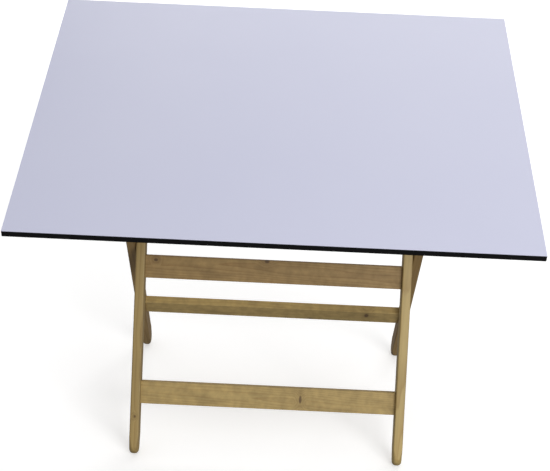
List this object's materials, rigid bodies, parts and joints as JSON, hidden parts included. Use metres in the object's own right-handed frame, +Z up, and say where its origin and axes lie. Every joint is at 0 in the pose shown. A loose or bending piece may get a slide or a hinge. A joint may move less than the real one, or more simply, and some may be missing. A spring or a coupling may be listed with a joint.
{
  "type": "folding drafting table",
  "caption": "Folding drafting table: a flat, tilted white drawing board on crossed pine leg frames, with notched battens under the board that set its height and slope.",
  "frame": {"origin": "on the floor, under the middle of the table's bounding box", "axes": "+Z up, -Y towards the person drawing, +X to their right along the board's long side"},
  "size_m": [1, 0.7804, 0.8165],
  "materials": {
    "white_laminate": "semi-gloss melamine laminate, cool white",
    "chipboard": "raw particle board",
    "brown_backing": "brown hardboard backing sheet",
    "black_edging": "satin black edge banding",
    "pine": "clear-varnished pine, satin",
    "pine_rail": "clear-varnished pine, flat-sawn, satin",
    "dowel": "turned wooden dowel, waxed",
    "zinc_steel": "zinc-plated steel"
  },
  "bodies": {
    "front_frame": {"front_leg_left": "pine", "front_leg_right": "pine", "upper_rail": "pine_rail", "lower_rail": "pine_rail", "upper_rail_screw_left_1": "zinc_steel", "upper_rail_screw_left_2": "zinc_steel", "upper_rail_screw_right_1": "zinc_steel", "upper_rail_screw_right_2": "zinc_steel", "lower_rail_screw_left_1": "zinc_steel", "lower_rail_screw_left_2": "zinc_steel", "lower_rail_screw_right_1": "zinc_steel", "lower_rail_screw_right_2": "zinc_steel", "pivot_bolt_left": "zinc_steel", "pivot_sleeve_left": "zinc_steel", "pivot_washer_left": "zinc_steel", "pivot_bolt_right": "zinc_steel", "pivot_sleeve_right": "zinc_steel", "pivot_washer_right": "zinc_steel"},
    "rear_frame": {"rear_leg_left": "pine", "rear_leg_right": "pine", "rear_rail": "pine_rail", "rear_rail_screw_left_1": "zinc_steel", "rear_rail_screw_left_2": "zinc_steel", "rear_rail_screw_right_1": "zinc_steel", "rear_rail_screw_right_2": "zinc_steel", "prop_bar": "dowel", "prop_bar_screw_left": "zinc_steel", "prop_bar_screw_right": "zinc_steel"},
    "hinge_rod": {"hinge_rod": "dowel"},
    "board": {"top_laminate": "white_laminate", "board_core": "chipboard", "backing_sheet": "brown_backing", "edge_band_front": "black_edging", "edge_band_back": "black_edging", "edge_band_left": "black_edging", "edge_band_right": "black_edging", "batten_left": "pine", "batten_screw_left_1": "zinc_steel", "batten_screw_left_2": "zinc_steel", "batten_screw_left_3": "zinc_steel", "batten_screw_left_4": "zinc_steel", "batten_right": "pine", "batten_screw_right_1": "zinc_steel", "batten_screw_right_2": "zinc_steel", "batten_screw_right_3": "zinc_steel", "batten_screw_right_4": "zinc_steel"}
  },
  "joints": [
    {"name": "leg_fold", "type": "hinge", "parent": "front_frame", "child": "rear_frame", "pos_m": [0, -0.03713, 0.43016], "axis": [-1, 0, 0], "range_deg": [0, 48]},
    {"name": "rod_turn", "type": "hinge", "parent": "front_frame", "child": "hinge_rod", "pos_m": [0, 0.08216, 0.70715], "axis": [-1, 0, 0], "range_deg": [0, 70]},
    {"name": "board_tilt", "type": "hinge", "parent": "hinge_rod", "child": "board", "pos_m": [0, 0.08216, 0.70715], "axis": [-1, 0, 0], "range_deg": [0, 45]}
  ],
  "couplings": [
    {"joint": "rod_turn", "follows": "leg_fold", "ratio": 1.45}
  ]
}
